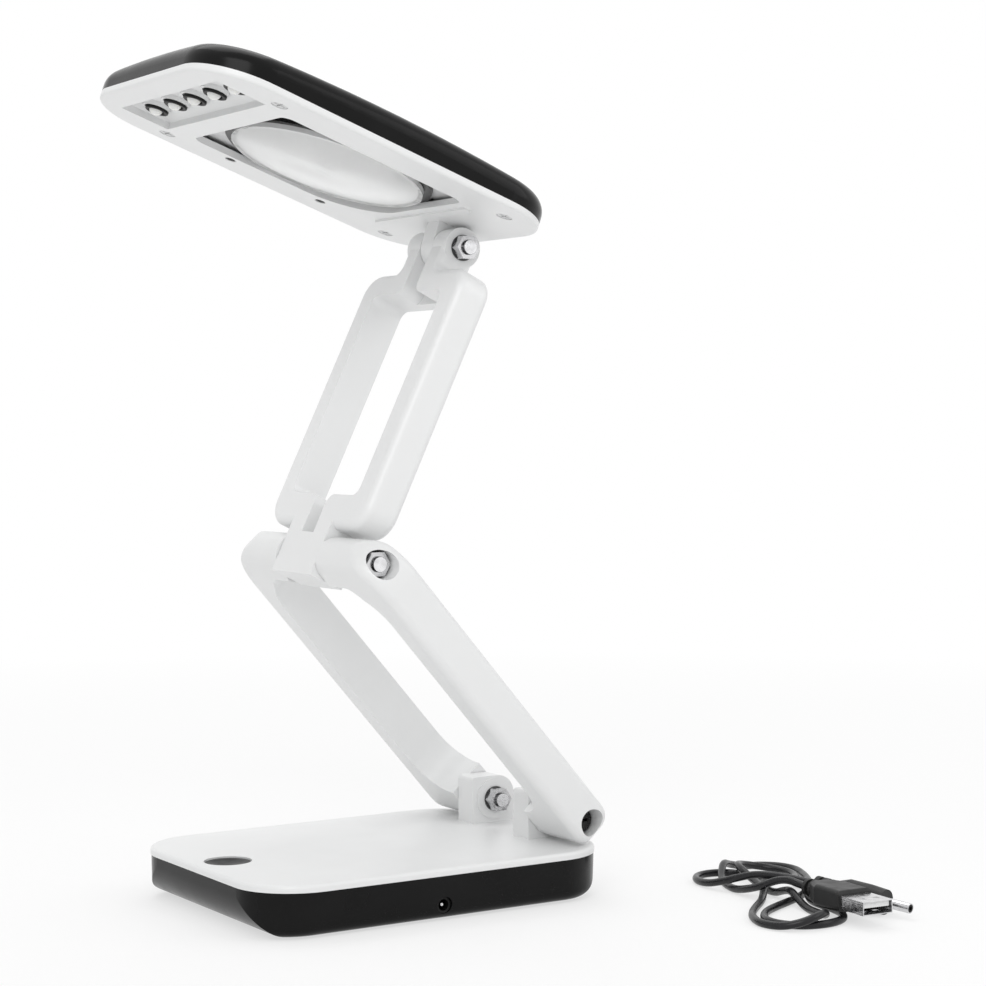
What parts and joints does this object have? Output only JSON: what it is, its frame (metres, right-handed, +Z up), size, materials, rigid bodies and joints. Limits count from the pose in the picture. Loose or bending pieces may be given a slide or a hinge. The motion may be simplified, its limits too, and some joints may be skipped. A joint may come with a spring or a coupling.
{
  "type": "folding desk lamp",
  "caption": "Folding cordless desk lamp: a tilting head with a round magnifier and a row of lights, on hinged links over a flat rectangular base, with a USB charging lead.",
  "frame": {"origin": "on the table under the middle of the lamp's own box, lead left out", "axes": "+X along the base from the button end to the hinge end, +Y across the base, away from the charging socket, +Z up"},
  "size_m": [0.2355, 0.1949, 0.2903],
  "materials": {
    "white_shell": "smooth satin white",
    "black_shell": "glossy black",
    "foot_rubber": "matt black",
    "button": "satin black",
    "circuit_board": "green solder mask",
    "battery": "shrink sleeve",
    "black_insert": "satin black",
    "white_insert": "satin white",
    "lens": "clear",
    "led": "milky white epoxy",
    "cable": "satin black sheath",
    "plug": "satin black moulding",
    "plug_metal": "bright nickel",
    "bright_fastener": "bright zinc",
    "dark_screw": "blackened steel"
  },
  "bodies": {
    "base": {"base_tub": "black_shell", "base_top_plate": "white_shell", "foot_pad_1": "foot_rubber", "foot_pad_2": "foot_rubber", "foot_pad_3": "foot_rubber", "foot_pad_4": "foot_rubber", "base_screw_1": "dark_screw", "base_screw_2": "dark_screw", "base_screw_3": "dark_screw", "base_screw_4": "dark_screw", "push_switch": "black_insert", "circuit_board": "circuit_board", "battery": "battery", "dc_jack": "black_insert", "base_hinge_near_bolt": "bright_fastener", "base_hinge_near_nut": "bright_fastener", "base_hinge_near_washer": "bright_fastener", "base_hinge_far_bolt": "bright_fastener", "base_hinge_far_nut": "bright_fastener", "base_hinge_far_washer": "bright_fastener", "charging_cable": "cable", "usb_plug_body": "plug", "usb_shell": "plug_metal", "usb_tongue": "white_insert", "dc_plug_body": "plug", "dc_barrel": "plug_metal", "dc_tip_insulator": "black_insert"},
    "button": {"power_button": "button"},
    "lower_link": {"lower_arm": "white_shell", "middle_hinge_bolt": "bright_fastener", "middle_hinge_nut": "bright_fastener", "middle_hinge_washer": "bright_fastener"},
    "upper_link": {"upper_arm": "white_shell", "tilt_hinge_bolt": "bright_fastener", "tilt_hinge_nut": "bright_fastener", "tilt_hinge_washer": "bright_fastener"},
    "head": {"head_panel": "white_shell", "head_cover": "black_shell", "magnifier_lens": "lens", "led_tray": "white_shell", "led_board": "circuit_board", "led_lamp_1": "led", "led_lamp_2": "led", "led_lamp_3": "led", "led_lamp_4": "led", "led_lamp_5": "led", "head_screw_1": "dark_screw", "head_screw_2": "dark_screw", "head_screw_3": "dark_screw", "head_screw_4": "dark_screw"}
  },
  "joints": [
    {"name": "button_press", "type": "slide", "parent": "base", "child": "button", "axis": [0, 0, -1], "range_m": [0, 0.0015], "stiffness_N_per_m": 1300},
    {"name": "base_hinge", "type": "hinge", "parent": "base", "child": "lower_link", "pos_m": [0.0676, 0, 0.0272], "axis": [0, 1, 0], "range_deg": [-47.5, 30]},
    {"name": "middle_hinge", "type": "hinge", "parent": "lower_link", "child": "upper_link", "pos_m": [-0.0138, 0, 0.1207], "axis": [0, -1, 0], "range_deg": [-98, 13]},
    {"name": "head_tilt", "type": "hinge", "parent": "upper_link", "child": "head", "pos_m": [0.039, 0, 0.2289], "axis": [0, 1, 0], "range_deg": [-82, 30]}
  ]
}
